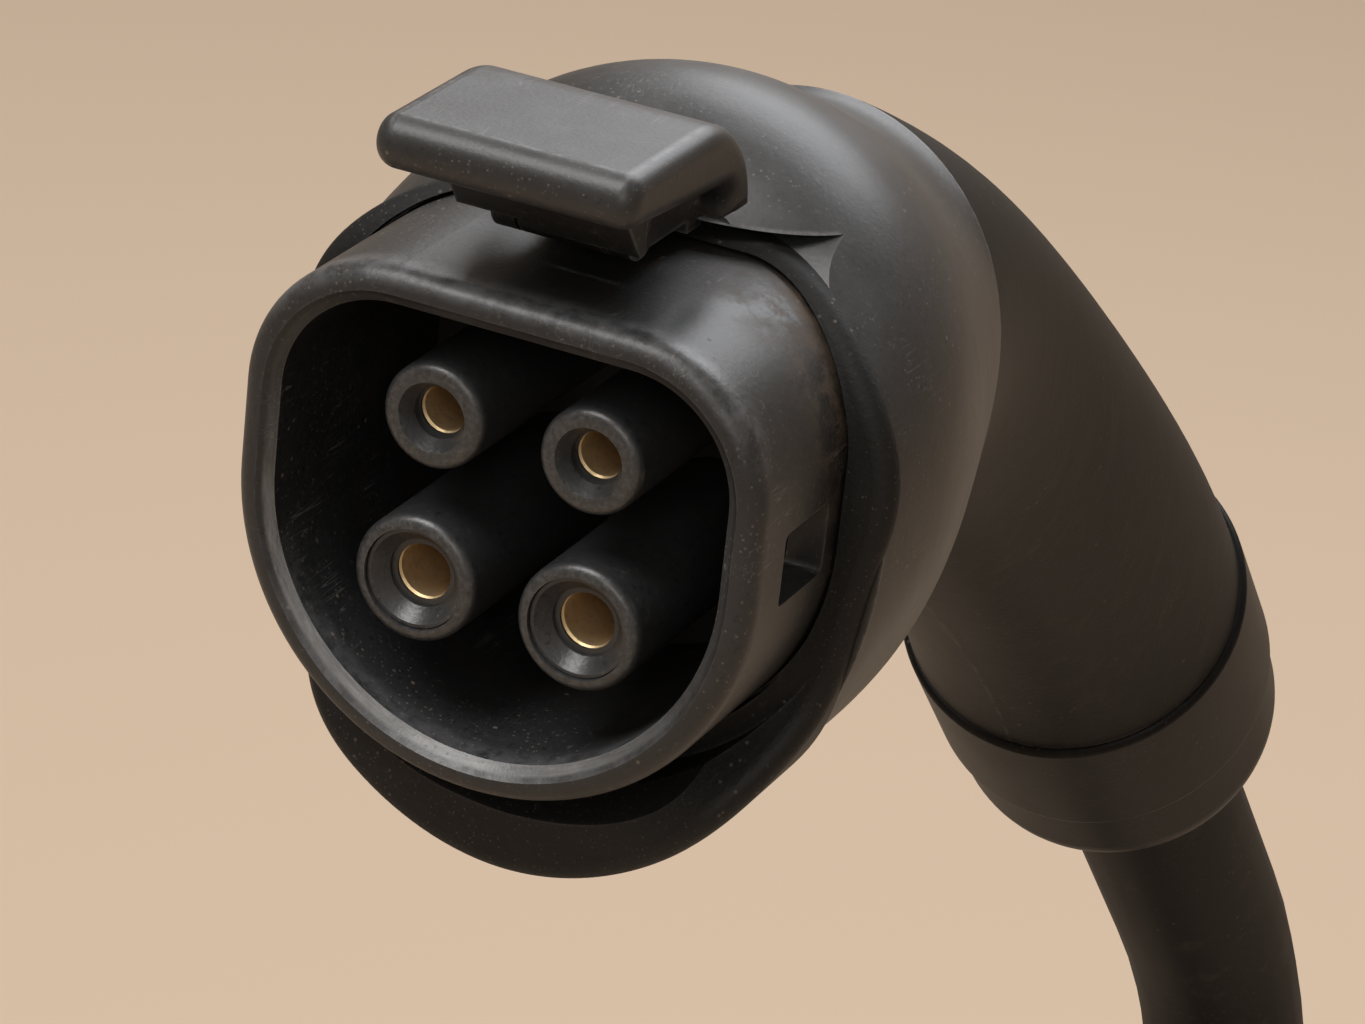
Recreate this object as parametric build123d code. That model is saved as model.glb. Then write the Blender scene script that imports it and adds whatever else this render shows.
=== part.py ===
from build123d import *
import math
import os

# Electric-vehicle charging plug with its cable, in millimetres.
# The origin is the middle of the nozzle's front face.
# The nozzle points along -Y, the latch is on top (+Z) and the grip slopes away behind (+Y).


# Nozzle: a D-shaped shroud with a flat top and a half-round bottom
NOZZLE_WIDTH = 58.0
NOZZLE_TOP = 25.0
NOZZLE_BOTTOM = -29.2
NOZZLE_CORNER = 16.0
NOZZLE_WALL = 4.0
RIM_ROUND = 2.3
RIM_CHAMFER = 1.45
CAVITY_DEPTH = 36.0
FLANGE_WIDTH = 3.0
FLANGE_THICKNESS = 4.0
WINDOW_START = 7.2
WINDOW_LENGTH = 10.4
WINDOW_HEIGHT = 8.0
WINDOW_MIDDLE = 1.7
WINDOW_ROUND = 0.8

# Contact carrier: a base plate, with a sleeve seated in it for each contact
CARRIER_THICKNESS = 6.0
BULKHEAD_THICKNESS = 4.0
STACK_DEPTH = CAVITY_DEPTH + CARRIER_THICKNESS + FLANGE_THICKNESS + BULKHEAD_THICKNESS
SLEEVE_FRONT = 3.1
SLEEVE_SEAT = 2.0
SLEEVE_ROUND = 1.2
UPPER_SPACING = 17.6
UPPER_HEIGHT = 9.2
UPPER_SLEEVE_DIAMETER = 11.4
UPPER_PIN_DIAMETER = 5.0
UPPER_CORE_DIAMETER = 5.0
LOWER_SPACING = 18.6
LOWER_HEIGHT = -8.9
LOWER_SLEEVE_DIAMETER = 13.8
LOWER_PIN_DIAMETER = 6.0
LOWER_CORE_DIAMETER = 7.0
UPPER_MOUTH_DIAMETER = 7.5
UPPER_THROAT_DIAMETER = 5.6
LOWER_MOUTH_DIAMETER = 10.0
LOWER_THROAT_DIAMETER = 7.4
FUNNEL_LENGTH = 1.7
MOUTH_LENGTH = 3.0
LIP_THICKNESS = 0.3
LIP_CLEARANCE = 0.05
SOCKET_WALL = 1.5
SOCKET_DEPTH = 26.0
SOCKET_FLANGE = 1.5
SOCKET_FLANGE_THICKNESS = 1.5
GUARD_STEP = 0.5
GUARD_WALL = 2.4
CONTACT_CHAMFER = 0.4
CRIMP_LENGTH = 14.0

# Collar: soft bumper between the shroud and the head
COLLAR_FACE = 19.8
COLLAR_THICKNESS = 2.2
COLLAR_GAP = 0.5
COLLAR_HALF_WIDTH = NOZZLE_WIDTH / 2 + 5.0
COLLAR_TOP = NOZZLE_TOP + 2.2
COLLAR_LEAN_START = 12.0
COLLAR_LEAN_RADIUS = 17.0
CHIN_DEPTH = 13.1
CHIN_BOTTOM = NOZZLE_BOTTOM - CHIN_DEPTH
CHIN_FACE = 9.5
CHIN_BACK = 26.0
COLLAR_BACK = CHIN_BACK + 10.0
CHIN_CHANNEL = 3.0
CHANNEL_FLARE = 4.0
CHANNEL_SLANT = 35.0
CHIN_ROUND = 2.0
SEAL_START = 33.0
SEAL_WIDTH = 2.5
SEAL_THICKNESS = 2.0

# Head and grip: stations along the centre line, from the nozzle to the end ring
# (distance back, height, slope down in degrees, half width, rise, drop, top and bottom squareness)
HEAD_STATIONS = [
    (16.0, 0.0, 0.0, 32.4, 24.0, 36.0, 2.7, 2.2),
    (26.0, 0.0, 0.0, 34.4, 27.8, 38.0, 2.5, 2.1),
    (38.0, 0.0, 0.0, 34.6, 35.4, 39.0, 2.2, 2.0),
    (STACK_DEPTH + 4.0, 0.0, 5.0, 31.0, 32.7, 38.6, 2.0, 2.0),
    (STACK_DEPTH + 20.0, -2.0, 15.0, 26.0, 28.0, 34.6, 2.0, 2.0),
]
GRIP_STATIONS = [
    (STACK_DEPTH + 40.0, -5.6, 27.0, 22.2, 21.8, 28.4, 2.0, 2.0),
    (STACK_DEPTH + 73.0, -25.4, 35.0, 20.4, 20.8, 23.0, 2.0, 2.0),
    (STACK_DEPTH + 108.0, -52.6, 42.0, 21.2, 21.4, 22.0, 2.0, 2.0),
]
SECTION_POINTS = 12
HEAD_ROOM_RADIUS = 25.0
NECK_RADIUS = 21.0
NECK_WALL = 3.0
NECK_LENGTH = 9.0
GRIP_ROOM_RADIUS = 18.0
GRIP_WALL = 3.0

# End of the grip: union ring and rounded end cap, round on a straight axis
GRIP_REACH = 132.6
END_Y = STACK_DEPTH + GRIP_REACH
END_Z = -76.0
END_SLOPE = 46.0
GRIP_END_RADIUS = 22.3
SPIGOT_RADIUS = 19.4
SPIGOT_LENGTH = 12.0
RING_RADIUS = 23.2
RING_LENGTH = 24.5
RING_ROUND = 1.0
CAP_RADIUS = 22.2
CAP_LENGTH = 19.3
CAP_ROUND = 8.4

# Latch: a cap that turns on a pin under its round back end
LATCH_WIDTH = 28.6
LATCH_TOP = 42.6
LATCH_FRONT = -5.0
LATCH_THICKNESS = 7.4
LATCH_NOSE_LENGTH = 3.2
LATCH_NOSE_LIFT = 1.6
LATCH_ARCH = 3.0
LATCH_ROUND = 2.2
PIVOT_Y = 13.0
PIVOT_Z = 31.0
PIN_DIAMETER = 3.0
PIN_CLEARANCE = 0.05
HUB_RADIUS = 3.5
HUB_WIDTH = 9.2
EAR_WIDTH = 2.6
EAR_GAP = 0.4
TOOTH_WIDTH = 20.0
TOOTH_BOTTOM = 30.0
TOOTH_STEP = 1.0
LEG_WIDTH = 4.0
LEG_THICKNESS = 4.8
LEG_OPENING = 5.1
POCKET_FLOOR = 27.8
POCKET_HALF_WIDTH = 15.2
POCKET_BACK = 27.2
POCKET_DRAFT = 22.0
POCKET_CORNER = 6.0
SPRING_RADIUS = 1.6
SPRING_WIRE = 0.5
SPRING_TURNS = 4.0

# Fasteners
SCREW_DIAMETER = 3.0
SCREW_HEAD_DIAMETER = 5.5
SCREW_HEAD_HEIGHT = 2.4
SCREW_DRIVE = 2.5
HOLE_CLEARANCE = 0.1
FIT_GAP = 0.15
HEAD_SCREW_HEIGHTS = (9.0, -12.0)
GRIP_SCREW_SEAT = 10.0
GRIP_SCREW_LENGTH = 18.0
PAST_ALL = 400.0

# Cable
CABLE_DIAMETER = 25.0
JACKET_START = 30.0
CORE_FIRST_RUN = 16.0
CORE_LAST_RUN = 22.0
CORE_LIFT = 4.6
CLAMP_RADIUS = 17.6
CLAMP_LENGTH = 12.0
CLAMP_SCREW_SPACING = 29.2
CLAMP_SCREW_SEAT = 4.2
CLAMP_SCREW_LENGTH = 8.5
CLAMP_SPLIT = 0.8
CLAMP_ROOM = 1.4
STRAIGHT_LENGTH = 118.0
TAIL_RUN = 95.0
TAIL_TURNS = 4
COIL_RADIUS = 137.5
TIE_ANGLES = (120.0, 225.0)
TIE_WIDTH = 25.0
TIE_THICKNESS = 1.6
END_START = 80.0
END_STEP = 20.0
END_RUNS = 8
CLIMB_RUNS = 5
STRIPPED_LENGTH = 60.0
FERRULE_LENGTH = 14.0


def across(y):
    """Plane across the nozzle at depth y, its normal pointing forward."""
    return Plane(origin=(0, y, 0), x_dir=(1, 0, 0), z_dir=(0, -1, 0))


def slab(sketch, front, back):
    """Solid with the sketch's outline from depth front to depth back."""
    return extrude(across(back) * sketch, amount=back - front)


def rod(x, z, radius, front, back):
    """Round bar along the nozzle's direction."""
    return slab(Pos(x, z) * Circle(radius), front, back)


def side_slab(sketch, half_width):
    """Solid with a side-view outline (y, z), symmetrical about the middle plane."""
    return extrude(Plane.YZ * sketch, amount=half_width, both=True)


def nozzle_outline(inset):
    """D-shaped outline of the nozzle, moved inwards by inset."""
    half = NOZZLE_WIDTH / 2 - inset
    top = NOZZLE_TOP - inset
    bottom = NOZZLE_BOTTOM + inset
    corner = NOZZLE_CORNER - inset
    spring = bottom + half
    right = Line((half, spring), (half, top - corner))
    right_corner = RadiusArc((half, top - corner), (half - corner, top), -corner)
    roof = Line((half - corner, top), (corner - half, top))
    left_corner = RadiusArc((corner - half, top), (-half, top - corner), -corner)
    left = Line((-half, top - corner), (-half, spring))
    bowl = ThreePointArc((-half, spring), (0, bottom), (half, spring))
    return make_face([right, right_corner, roof, left_corner, left, bowl])


def egg(half_width, rise, drop, top_square, bottom_square):
    """Egg-shaped outline: two half superellipses that meet on the widest line."""
    points = []
    for step in range(SECTION_POINTS):
        angle = 2 * math.pi * step / SECTION_POINTS
        across_part = math.cos(angle)
        up_part = math.sin(angle)
        square = top_square if up_part >= 0 else bottom_square
        height = rise if up_part >= 0 else drop
        x = half_width * math.copysign(abs(across_part) ** (2 / square), across_part)
        z = height * math.copysign(abs(up_part) ** (2 / square), up_part)
        points.append((x, z))
    return make_face([Spline(points, periodic=True)])


def sloped(y, z, slope):
    """Plane across the centre line at (y, z), its normal pointing back along the grip."""
    angle = math.radians(slope)
    back = (0, math.cos(angle), -math.sin(angle))
    return Plane(origin=(0, y, z), x_dir=(-1, 0, 0), z_dir=back)


def smooth_body(stations):
    """Smooth body through the stations."""
    sections = []
    for y, z, slope, half_width, rise, drop, top_square, bottom_square in stations:
        outline = egg(half_width, rise, drop, top_square, bottom_square)
        sections.append(sloped(y, z, slope) * outline)
    return loft(sections)


def grip_stations():
    """Stations of the grip, from the seam with the head to its round end."""
    end = (END_Y, END_Z, END_SLOPE, GRIP_END_RADIUS, GRIP_END_RADIUS, GRIP_END_RADIUS, 2.0, 2.0)
    return [HEAD_STATIONS[-1]] + GRIP_STATIONS + [end]


def seam_plane():
    """Plane of the seam between the head and the grip."""
    y, z, slope = HEAD_STATIONS[-1][:3]
    return sloped(y, z, slope)


def end_plane(distance):
    """Plane across the grip's end axis, at a distance beyond the start of the ring."""
    slope = math.radians(END_SLOPE)
    y = END_Y + distance * math.cos(slope)
    z = END_Z - distance * math.sin(slope)
    return sloped(y, z, END_SLOPE)


def screw(length):
    """Pan-head screw: head above the XY plane, shank below, with a hexagon drive."""
    head = extrude(Circle(SCREW_HEAD_DIAMETER / 2), amount=SCREW_HEAD_HEIGHT)
    head = fillet(head.edges().sort_by(Axis.Z)[-1], 0.6)
    drive = Pos(0, 0, SCREW_HEAD_HEIGHT) * extrude(
        RegularPolygon(SCREW_DRIVE / 2, 6), amount=-SCREW_HEAD_HEIGHT * 0.6
    )
    shank = extrude(Circle(SCREW_DIAMETER / 2), amount=-length)
    shank = chamfer(shank.edges().sort_by(Axis.Z)[0], 0.4)
    return head + shank - drive


# Nozzle shroud


def nozzle_shroud():
    depth = CAVITY_DEPTH + CARRIER_THICKNESS + FLANGE_THICKNESS
    shell = slab(nozzle_outline(0), 0, depth)
    front_edges = shell.faces().sort_by(Axis.Y)[0].edges()
    shell = fillet(front_edges, RIM_ROUND)
    shell -= slab(nozzle_outline(NOZZLE_WALL), 0, depth - FLANGE_THICKNESS)
    shell -= slab(nozzle_outline(NOZZLE_WALL + FLANGE_WIDTH), 0, depth)
    mouth = [edge for edge in shell.edges() if abs(edge.center().Y) < 0.01]
    inner = [edge for edge in mouth if edge.bounding_box().max.Z < NOZZLE_TOP - NOZZLE_WALL + 0.1]
    shell = chamfer(inner, RIM_CHAMFER)
    window = Box(3 * NOZZLE_WALL, WINDOW_LENGTH, WINDOW_HEIGHT)
    window = fillet(window.edges().filter_by(Axis.X), WINDOW_ROUND)
    side = (NOZZLE_WIDTH - NOZZLE_WALL) / 2
    return shell - Pos(side, WINDOW_START + WINDOW_LENGTH / 2, WINDOW_MIDDLE) * window


# Contacts and their carrier


def contact_places():
    """Name, x, z, sleeve diameter, pin diameter and core diameter of each contact."""
    places = []
    for side, sign in (("left", -1), ("right", 1)):
        x = sign * UPPER_SPACING / 2
        places.append(
            ("upper_" + side, x, UPPER_HEIGHT, UPPER_SLEEVE_DIAMETER, UPPER_PIN_DIAMETER, UPPER_CORE_DIAMETER)
        )
    for side, sign in (("left", -1), ("right", 1)):
        x = sign * LOWER_SPACING / 2
        places.append(
            ("lower_" + side, x, LOWER_HEIGHT, LOWER_SLEEVE_DIAMETER, LOWER_PIN_DIAMETER, LOWER_CORE_DIAMETER)
        )
    return places


def socket_front():
    return SLEEVE_FRONT + MOUTH_LENGTH


def carrier_back():
    return CAVITY_DEPTH + CARRIER_THICKNESS


def retainer_back():
    return carrier_back() + FLANGE_THICKNESS


def bulkhead_back():
    return STACK_DEPTH


def socket_radius(pin):
    return pin / 2 + SOCKET_WALL


def screw_places():
    """Positions of the four screws of the contact stack."""
    return [(-18.5, 11.0), (18.5, 11.0), (-5.5, -19.5), (5.5, -19.5)]


def contact_carrier():
    """Base plate of the contacts, with a round seat for each sleeve."""
    base = slab(nozzle_outline(NOZZLE_WALL + FIT_GAP), CAVITY_DEPTH, carrier_back())
    for name, x, z, sleeve, pin, core in contact_places():
        radius = socket_radius(pin)
        base -= rod(x, z, sleeve / 2 + HOLE_CLEARANCE, CAVITY_DEPTH, CAVITY_DEPTH + SLEEVE_SEAT)
        base -= rod(x, z, radius + HOLE_CLEARANCE, CAVITY_DEPTH, carrier_back())
        flange = radius + SOCKET_FLANGE + HOLE_CLEARANCE
        base -= rod(x, z, flange, carrier_back() - SOCKET_FLANGE_THICKNESS, carrier_back())
    for x, z in screw_places():
        base -= rod(x, z, SCREW_DIAMETER / 2 + HOLE_CLEARANCE, CAVITY_DEPTH + 1, carrier_back())
    return base


def contact_sleeve(name, x, z, sleeve, pin):
    """Insulating tube round a contact, seated in the base plate."""
    back = CAVITY_DEPTH + SLEEVE_SEAT
    tube_body = rod(x, z, sleeve / 2, SLEEVE_FRONT, back)
    tube_body = fillet(tube_body.edges().sort_by(Axis.Y)[0], SLEEVE_ROUND)
    tube_body -= rod(x, z, socket_radius(pin) + HOLE_CLEARANCE, socket_front() - HOLE_CLEARANCE, back)
    if name.startswith("lower"):
        return tube_body - rod(x, z, guard_radius(pin) + HOLE_CLEARANCE, SLEEVE_FRONT, socket_front())
    return tube_body - mouth_cut(x, z, pin, UPPER_MOUTH_DIAMETER, UPPER_THROAT_DIAMETER, SLEEVE_FRONT)


def mouth_cut(x, z, pin, mouth, throat, front):
    """Room in front of a contact: a funnel, a throat, and the pin's hole through the thin lip."""
    funnel = Plane(origin=(x, front, z), z_dir=(0, 1, 0)) * Circle(mouth / 2)
    slant = math.degrees(math.atan((mouth - throat) / 2 / FUNNEL_LENGTH))
    cut = extrude(funnel, amount=FUNNEL_LENGTH, taper=slant)
    cut += rod(x, z, throat / 2, front, socket_front() - HOLE_CLEARANCE - LIP_THICKNESS)
    return cut + rod(x, z, pin / 2 + LIP_CLEARANCE, front, socket_front())


def guard_radius(pin):
    return pin / 2 + GUARD_WALL


def guard_ring(x, z, pin):
    """Insulating ring set in the mouth of a larger sleeve."""
    front = SLEEVE_FRONT + GUARD_STEP
    ring = rod(x, z, guard_radius(pin), front, socket_front() - HOLE_CLEARANCE)
    return ring - mouth_cut(x, z, pin, LOWER_MOUTH_DIAMETER, LOWER_THROAT_DIAMETER, front)


def contact(x, z, pin):
    """Turned brass socket: pin bore in front, flange, and a crimp barrel behind."""
    radius = socket_radius(pin)
    front = socket_front()
    back = bulkhead_back() + CRIMP_LENGTH
    body = rod(x, z, radius, front, back)
    body = chamfer(body.edges().sort_by(Axis.Y)[0], CONTACT_CHAMFER)
    body += rod(x, z, radius + SOCKET_FLANGE, carrier_back() - SOCKET_FLANGE_THICKNESS, carrier_back())
    body -= rod(x, z, pin / 2, front, front + SOCKET_DEPTH)
    return chamfer(body.edges().group_by(Axis.Y)[0].sort_by(SortBy.RADIUS)[0], CONTACT_CHAMFER)


def contact_retainer():
    plate = slab(nozzle_outline(NOZZLE_WALL + FLANGE_WIDTH + FIT_GAP), carrier_back(), retainer_back())
    for name, x, z, sleeve, pin, core in contact_places():
        plate -= rod(x, z, socket_radius(pin) + HOLE_CLEARANCE, carrier_back(), retainer_back())
    for x, z in screw_places():
        plate -= rod(x, z, SCREW_DIAMETER / 2 + HOLE_CLEARANCE, carrier_back(), retainer_back())
    return plate


def core_screws():
    length = bulkhead_back() - CAVITY_DEPTH - 2
    group = []
    for x, z in screw_places():
        seat = Plane(origin=(x, bulkhead_back(), z), z_dir=(0, 1, 0))
        group.append(seat * screw(length))
    return Compound(group)


# Collar


def collar_region(setback, chin):
    """Side view of all that lies in front of the collar's face, set back by a distance.

    The face leans back at the top, is upright beside the nozzle and sweeps out to depth chin below.
    """
    upright = COLLAR_FACE + setback
    radius = COLLAR_LEAN_RADIUS
    turn = NOZZLE_BOTTOM / 2 + 2
    foot = CHIN_BOTTOM + 8
    far = PAST_ALL / 2
    climb = COLLAR_TOP + COLLAR_GAP - COLLAR_LEAN_START
    top = (upright + radius - math.sqrt(radius**2 - climb**2), COLLAR_LEAN_START + climb)
    over = Line((-far, top[1]), top)
    lean = RadiusArc(top, (upright, COLLAR_LEAN_START), -radius)
    edge = Line((upright, COLLAR_LEAN_START), (upright, turn))
    swept = Spline((upright, turn), (chin, foot), tangents=((0, -1), (0, -1)))
    rest = Polyline((chin, foot), (chin, -far), (-far, -far), (-far, top[1]))
    return side_slab(make_face([over, lean, edge, swept, rest]), PAST_ALL / 4)


def front_collar():
    outline = egg(COLLAR_HALF_WIDTH, COLLAR_TOP, -CHIN_BOTTOM, 2.9, 2.0)
    blank = slab(outline, 0, COLLAR_BACK)
    blank = blank & collar_region(COLLAR_THICKNESS, CHIN_BACK)
    blank -= collar_region(0, CHIN_FACE)
    blank = fillet(blank.edges().group_by(Axis.Y)[0].sort_by(Axis.Z)[0], CHIN_ROUND)
    blank -= chin_channel()
    blank -= slab(nozzle_outline(-COLLAR_GAP), 0, COLLAR_BACK)
    return blank - latch_pocket()


def chin_channel():
    """Channel between the nozzle and the chin, flared at its mouth."""
    channel = slab(nozzle_outline(-CHIN_CHANNEL), 0, COLLAR_FACE)
    mouth = across(CHIN_FACE + CHANNEL_FLARE) * nozzle_outline(-CHIN_CHANNEL)
    return channel + extrude(mouth, amount=2 * CHANNEL_FLARE, taper=-CHANNEL_SLANT)


def shroud_seal():
    """Seal round the shroud, in a groove inside the head."""
    ring = slab(nozzle_outline(-SEAL_THICKNESS), SEAL_START, SEAL_START + SEAL_WIDTH)
    return ring - slab(nozzle_outline(-0.05), SEAL_START, SEAL_START + SEAL_WIDTH)


# Head housing


def latch_pocket():
    """Open channel in the head's top in which the latch lies, with drafted walls."""
    length = POCKET_BACK - LATCH_FRONT
    middle = LATCH_FRONT + length / 2
    floor = RectangleRounded(2 * POCKET_HALF_WIDTH, length, POCKET_CORNER)
    return extrude(Pos(0, middle, POCKET_FLOOR) * floor, amount=LATCH_TOP - NOZZLE_TOP / 2, taper=-POCKET_DRAFT)


def ear_outline():
    """Side view of a pivot ear: lug round the pin, stop pad and an arm back into the head."""
    lug = Pos(PIVOT_Y, PIVOT_Z) * Circle(HUB_RADIUS)
    pad_top = latch_underside() - 0.2
    pad = Pos(PIVOT_Y - 0.6, (PIVOT_Z + pad_top) / 2) * Rectangle(2.6, pad_top - PIVOT_Z)
    arm_bottom = POCKET_FLOOR + 0.4
    arm_top = PIVOT_Z + 2.4
    arm_back = POCKET_BACK + 6.0
    arm = Pos((PIVOT_Y + arm_back) / 2, (arm_bottom + arm_top) / 2)
    arm *= Rectangle(arm_back - PIVOT_Y, arm_top - arm_bottom)
    return lug + pad + arm


def pivot_ears():
    """The two ears, and the shelf between their arms that the spring stands on."""
    inner = HUB_WIDTH / 2 + EAR_GAP
    ears = side_slab(ear_outline(), inner + EAR_WIDTH) - side_slab(ear_outline(), inner)
    shelf_front = PIVOT_Y + HUB_RADIUS + EAR_GAP
    shelf_bottom = POCKET_FLOOR + 0.4
    shelf = Pos(0, (shelf_front + POCKET_BACK) / 2, (shelf_bottom + spring_seat()) / 2)
    shelf *= Box(2 * inner + 0.2, POCKET_BACK - shelf_front, spring_seat() - shelf_bottom)
    foot = Pos(0, POCKET_BACK - 1.6, POCKET_FLOOR) * Box(2 * (inner + EAR_WIDTH), 3.2, 2)
    return ears + shelf + foot


def spring_seat():
    return POCKET_FLOOR + 1.8


def spring_y():
    return PIVOT_Y + HUB_RADIUS + EAR_GAP + SPRING_RADIUS + 0.5


def head_housing():
    outer = smooth_body(HEAD_STATIONS) - collar_region(COLLAR_THICKNESS, CHIN_BACK)
    outer -= slab(nozzle_outline(-FIT_GAP), 0, retainer_back())
    outer -= head_room()
    outer -= seal_groove()
    outer -= latch_pocket()
    for name, x, z, sleeve, pin, core in contact_places():
        outer -= rod(x, z, socket_radius(pin) + 4 * HOLE_CLEARANCE, retainer_back(), bulkhead_back())
    for x, z in screw_places():
        outer -= rod(x, z, SCREW_DIAMETER / 2 + HOLE_CLEARANCE, retainer_back(), bulkhead_back())
    outer += pivot_ears()
    outer -= pin_hole(PIN_DIAMETER / 2 + PIN_CLEARANCE)
    for place in head_screw_places():
        outer -= place * screw_hole()
    return outer


def head_room():
    """Space behind the bulkhead, and the round bore that takes the neck of the grip."""
    reach = HEAD_STATIONS[-1][0] - bulkhead_back()
    room = rod(0, 0, HEAD_ROOM_RADIUS, bulkhead_back(), bulkhead_back() + reach / 2)
    return room + extrude(seam_plane() * Circle(NECK_RADIUS), amount=-reach)


def seal_groove():
    outline = nozzle_outline(-SEAL_THICKNESS - 0.05)
    return slab(outline, SEAL_START - 0.05, SEAL_START + SEAL_WIDTH + 0.05)


def pin_hole(radius):
    axis = Plane(origin=(0, PIVOT_Y, PIVOT_Z), z_dir=(1, 0, 0))
    return extrude(axis * Circle(radius), amount=HUB_WIDTH / 2 + EAR_GAP + EAR_WIDTH, both=True)


# Latch


def latch_underside():
    return LATCH_TOP - LATCH_THICKNESS


def latch_back_radius():
    return LATCH_TOP - PIVOT_Z


def latch_room_radius():
    """Radius of the round room inside the latch's back end."""
    return latch_back_radius() - LEG_THICKNESS / 2


def latch_profile():
    """Side view of the latch cap with its round back end and a leg at the back."""
    under_z = latch_underside()
    back = PIVOT_Y + latch_back_radius()
    leg_front = back - LEG_THICKNESS
    nose_back = LATCH_FRONT + LATCH_NOSE_LENGTH
    nose_z = under_z + LATCH_NOSE_LIFT
    top = Line((nose_back, LATCH_TOP), (PIVOT_Y, LATCH_TOP))
    barrel = RadiusArc((PIVOT_Y, LATCH_TOP), (back, PIVOT_Z), latch_back_radius())
    leg = Polyline((back, PIVOT_Z), (leg_front, PIVOT_Z), (leg_front, under_z - LATCH_ARCH))
    corner = RadiusArc((leg_front, under_z - LATCH_ARCH), (leg_front - LATCH_ARCH, under_z), -LATCH_ARCH)
    under = Line((leg_front - LATCH_ARCH, under_z), (nose_back, nose_z))
    middle = (LATCH_TOP + nose_z) / 2
    front = ThreePointArc((nose_back, nose_z), (LATCH_FRONT, middle), (nose_back, LATCH_TOP))
    return make_face([top, barrel, leg, corner, under, front])


def latch_cap():
    cap = side_slab(latch_profile(), LATCH_WIDTH / 2)
    return fillet(cap.faces().filter_by(Axis.X).edges(), LATCH_ROUND)


def latch_lever():
    cap = latch_cap()
    inner = LATCH_WIDTH / 2 - LEG_WIDTH
    clear = latch_room_radius()
    room = Pos(PIVOT_Y, PIVOT_Z) * Circle(clear)
    room -= Pos(PIVOT_Y - clear, PIVOT_Z) * Rectangle(2 * clear, 3 * clear)
    depth = 2 * latch_back_radius()
    window = Pos(PIVOT_Y + depth / 2, PIVOT_Z) * Rectangle(depth, 2 * LEG_OPENING)
    cap -= side_slab(room + window, inner)
    cap += latch_hub()
    return cap - pin_hole(PIN_DIAMETER / 2 + PIN_CLEARANCE)


def latch_hub():
    """Hub on the pin with its web, and the hook tooth in front of it."""
    lug = Pos(PIVOT_Y, PIVOT_Z) * Circle(HUB_RADIUS)
    top = latch_underside() + 2
    web = Pos(PIVOT_Y, (PIVOT_Z + top) / 2) * Rectangle(2 * HUB_RADIUS - 1, top - PIVOT_Z)
    hub = side_slab(lug + web, HUB_WIDTH / 2)
    back = PIVOT_Y - HUB_RADIUS - 0.7
    tooth = Polyline(
        (3.0, top), (3.6, latch_underside()), (back - 1.2, TOOTH_BOTTOM), (back, TOOTH_BOTTOM),
        (back - 0.5, top), (3.0, top)
    )
    hook = side_slab(make_face(tooth), TOOTH_WIDTH / 2)
    step = Pos(-TOOTH_WIDTH / 2, back, TOOTH_BOTTOM) * Box(TOOTH_WIDTH * 0.7, TOOTH_WIDTH, 2 * TOOTH_STEP)
    return hub + (hook - step)


def latch_pin():
    pin = pin_hole(PIN_DIAMETER / 2)
    return chamfer(pin.edges().filter_by(GeomType.CIRCLE), 0.3)


def latch_spring():
    """Compression spring between the shelf and the inside of the latch."""
    radius = latch_room_radius()
    across_part = spring_y() - PIVOT_Y + SPRING_RADIUS
    ceiling = PIVOT_Z + math.sqrt(radius**2 - across_part**2)
    height = ceiling - spring_seat() - SPRING_WIRE - 0.1
    coil = Helix(pitch=height / SPRING_TURNS, height=height, radius=SPRING_RADIUS)
    start = Plane(origin=coil @ 0, z_dir=coil % 0)
    wire = sweep(start * Circle(SPRING_WIRE / 2), path=coil)
    return Pos(0, spring_y(), spring_seat() + SPRING_WIRE / 2) * wire


# Grip


def boss_places():
    """Centres (y, z) of the screws across the grip, near its underside and its back."""
    places = []
    for y, z, slope, half_width, rise, drop, top_square, bottom_square in GRIP_STATIONS:
        angle = math.radians(slope)
        reach = drop - GRIP_WALL - SCREW_HEAD_DIAMETER / 2 - 1
        places.append((y - reach * math.sin(angle), z - reach * math.cos(angle)))
    return places


def grip_block():
    """Both grip shells as one: wall, neck into the head, spigot for the ring and screw bosses."""
    outer = smooth_body(grip_stations())
    shells = outer - loft([sloped(*station[:3]) * Circle(GRIP_ROOM_RADIUS) for station in grip_stations()])
    clamp_room = end_plane(clamp_start() - 1) * Circle(CLAMP_RADIUS + CLAMP_ROOM)
    shells -= extrude(clamp_room, amount=CLAMP_LENGTH + 2)
    neck = extrude(seam_plane() * Circle(NECK_RADIUS - FIT_GAP), amount=-NECK_LENGTH)
    neck -= extrude(seam_plane() * Circle(NECK_RADIUS - NECK_WALL), amount=-NECK_LENGTH)
    spigot = extrude(end_plane(0) * Circle(SPIGOT_RADIUS), amount=SPIGOT_LENGTH)
    spigot -= extrude(end_plane(0) * Circle(SPIGOT_RADIUS - GRIP_WALL), amount=SPIGOT_LENGTH)
    shells += neck
    shells += spigot
    for y, z in boss_places():
        axis = Plane(origin=(0, y, z), z_dir=(1, 0, 0))
        boss = extrude(axis * Circle(SCREW_HEAD_DIAMETER / 2 + 1), amount=2 * GRIP_END_RADIUS, both=True)
        shells += boss & outer
    for y, z in boss_places():
        seat = Plane(origin=(-GRIP_SCREW_SEAT, y, z), z_dir=(-1, 0, 0))
        shells -= extrude(seat * Circle(SCREW_DIAMETER / 2 + HOLE_CLEARANCE), amount=-GRIP_SCREW_LENGTH - 1)
        shells -= extrude(seat * Circle(SCREW_HEAD_DIAMETER / 2 + HOLE_CLEARANCE), amount=2 * GRIP_END_RADIUS)
    for place in head_screw_places():
        shells -= place * screw_hole()
    return shells


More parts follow.
